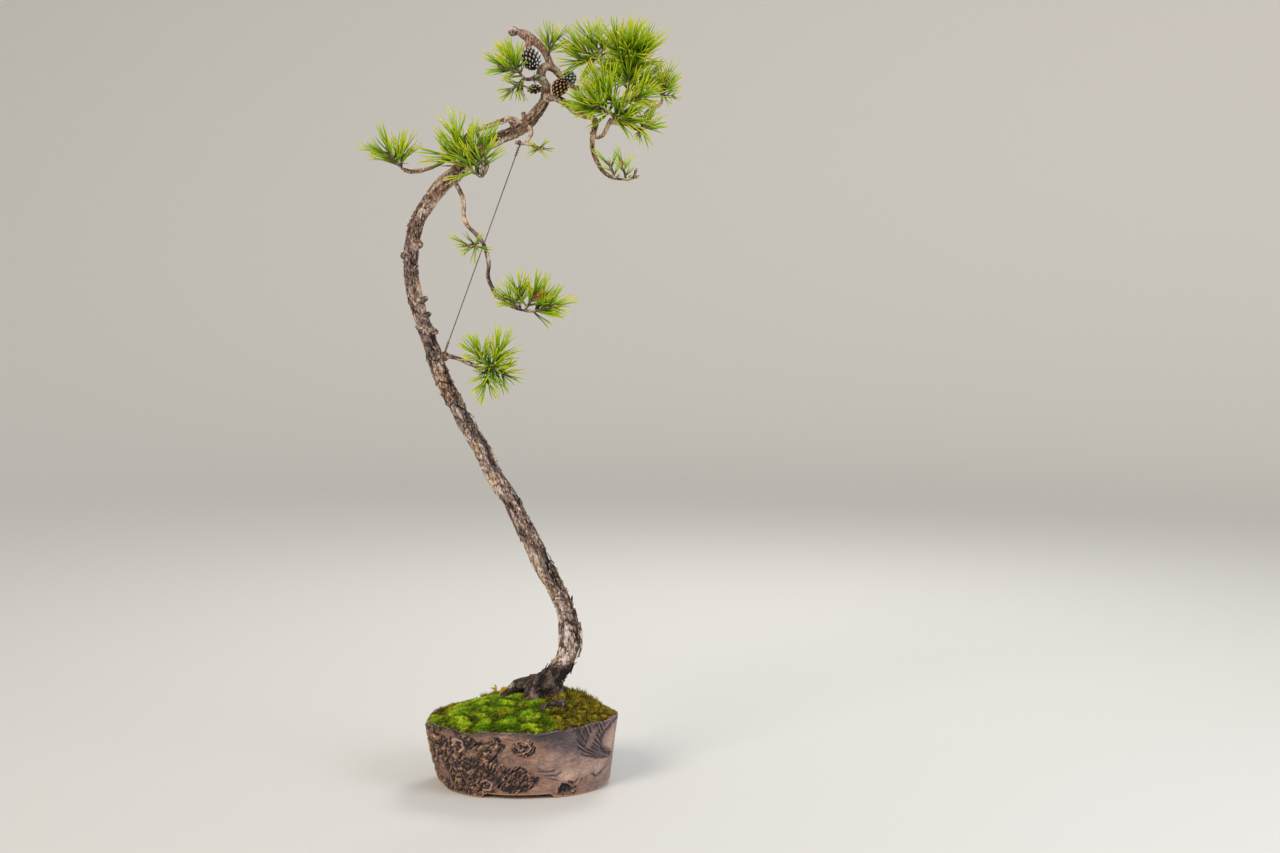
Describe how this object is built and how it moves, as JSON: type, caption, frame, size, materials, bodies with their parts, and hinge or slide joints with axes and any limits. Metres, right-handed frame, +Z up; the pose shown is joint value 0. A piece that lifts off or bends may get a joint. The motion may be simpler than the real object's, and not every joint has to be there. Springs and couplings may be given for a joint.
{
  "type": "pitch pine bonsai",
  "caption": "Tall slender pitch pine bonsai with a long double-curved trunk, sparse needle sprays and cones, growing in moss in a low oval clay pot with rough relief.",
  "frame": {"origin": "under the middle of the whole outline seen from above, on the surface that the pot's feet stand on", "axes": "+Z up; +X to the right and -Y towards the viewer, with the long trunk's bend to the left (-X)"},
  "size_m": [0.3455, 0.1682, 0.84],
  "materials": {
    "clay": "matte",
    "mesh_plastic": "matte",
    "soil": "matte",
    "cushion_moss": "matte",
    "brown_moss": "matte",
    "bark": "matte",
    "needles": "satin",
    "cone_scales": "matte",
    "wire": "satin",
    "sleeve_rubber": "matte",
    "seedling": "satin"
  },
  "bodies": {
    "root": {"pot": "clay", "drain_mesh": "mesh_plastic", "soil": "soil", "moss_green": "cushion_moss", "moss_brown": "brown_moss", "tree": "bark", "sprig": "seedling", "guy_wire": "wire", "wire_sleeve": "sleeve_rubber", "cone_upper": "cone_scales", "cone_front": "cone_scales", "cone_grey": "cone_scales", "spray_far_left": "needles", "spray_left": "needles", "spray_under": "needles", "spray_cone_side": "needles", "spray_stub": "needles", "spray_top_left": "needles", "spray_crown": "needles", "spray_low_right": "needles", "spray_right": "needles", "spray_drop": "needles", "spray_hanging_side": "needles", "spray_hanging_end": "needles", "spray_low": "needles"}
  },
  "joints": []
}
